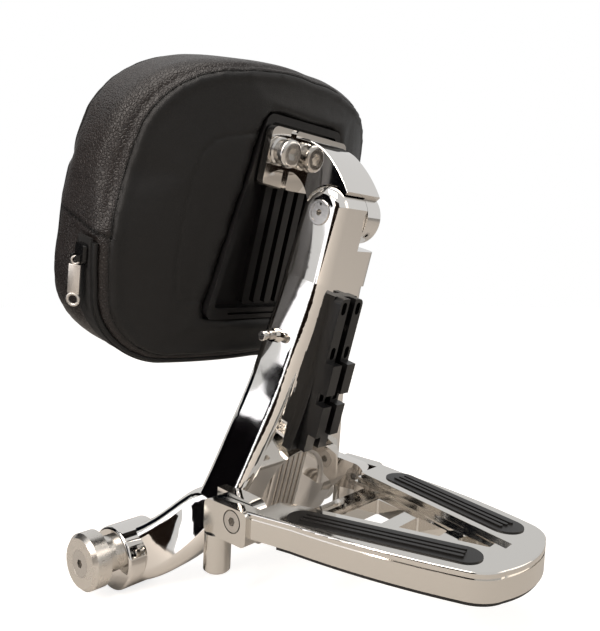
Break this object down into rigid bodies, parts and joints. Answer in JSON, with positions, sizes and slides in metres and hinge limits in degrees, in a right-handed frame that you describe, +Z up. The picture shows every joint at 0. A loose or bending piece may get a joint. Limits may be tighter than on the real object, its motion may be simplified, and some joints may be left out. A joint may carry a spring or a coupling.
{
  "type": "motorcycle driver backrest",
  "caption": "Padded rider backrest on a height-adjustable fluted mast, with a chrome docking wishbone and a fold-up luggage rack behind it.",
  "frame": {"origin": "middle of the docking axis, the line through both docking spools", "axes": "+X to the motorcycle's left, +Y to its rear, +Z up"},
  "size_m": [0.2578, 0.2754, 0.3545],
  "materials": {
    "casting_chrome": "polished chrome over a casting",
    "rack_chrome": "polished chrome over a casting",
    "mast_steel": "polished, with fine flutes",
    "spool_steel": "satin turned",
    "fastener_steel": "bright turned",
    "bracket_black": "satin black",
    "pad_leather": "fine grain",
    "track_plastic": "moulded satin",
    "zip_fabric": "woven tape",
    "zip_metal": "cast satin",
    "deck_rubber": "ribbed matt"
  },
  "bodies": {
    "frame": {"wishbone_frame": "casting_chrome", "docking_spool_left": "spool_steel", "docking_spool_right": "spool_steel", "docking_screws": "fastener_steel", "rear_track": "bracket_black", "track_screws": "fastener_steel", "hinge_sleeves": "fastener_steel", "hinge_cap_screws": "fastener_steel"},
    "mast": {"mast_post": "mast_steel", "head_block": "casting_chrome", "lock_barrel": "fastener_steel", "hinge_pin": "fastener_steel"},
    "lock": {"lock_plug": "fastener_steel"},
    "arm": {"gooseneck_arm": "casting_chrome", "arm_set_screw": "fastener_steel", "slide_plate": "track_plastic", "clamp_bolt_left": "fastener_steel", "clamp_bolt_right": "fastener_steel"},
    "pad": {"pad_cushion": "pad_leather", "pad_track": "track_plastic", "zipper_tape": "zip_fabric"},
    "zip": {"zipper_slider": "zip_metal"},
    "pull": {"zipper_pull": "zip_metal"},
    "rack": {"luggage_rack": "rack_chrome", "rack_inlay_left": "deck_rubber", "rack_inlay_right": "deck_rubber", "rack_underpad": "deck_rubber", "rack_stop_left": "rack_chrome", "rack_stop_right": "rack_chrome"},
    "release": {"release_pin": "fastener_steel"}
  },
  "joints": [
    {"name": "mast_height", "type": "slide", "parent": "frame", "child": "mast", "axis": [0, 0.2982, 0.9545], "range_m": [0, 0.075]},
    {"name": "recline", "type": "hinge", "parent": "mast", "child": "arm", "pos_m": [0, 0.117, 0.222], "axis": [1, 0, 0], "range_deg": [-15, 9]},
    {"name": "lock_turn", "type": "hinge", "parent": "mast", "child": "lock", "pos_m": [0.018, 0.117, 0.222], "axis": [1, 0, 0], "range_deg": [0, 90]},
    {"name": "pad_height", "type": "slide", "parent": "arm", "child": "pad", "axis": [0, 0.2982, 0.9545], "range_m": [0, 0.08]},
    {"name": "rack_fold", "type": "hinge", "parent": "frame", "child": "rack", "pos_m": [0, 0.0885, 0.0347], "axis": [1, 0, 0], "range_deg": [0, 66]},
    {"name": "release", "type": "slide", "parent": "frame", "child": "release", "axis": [1, 0, 0], "range_m": [0, 0.005], "stiffness_N_per_m": 400},
    {"name": "zip_run", "type": "slide", "parent": "pad", "child": "zip", "axis": [-0.0931, -0.2969, -0.9504], "range_m": [0, 0.012]},
    {"name": "pull_swing", "type": "hinge", "parent": "zip", "child": "pull", "pos_m": [0.13012, 0.01453, 0.19363], "axis": [0, -0.9545, 0.2982], "range_deg": [0, 90]}
  ]
}
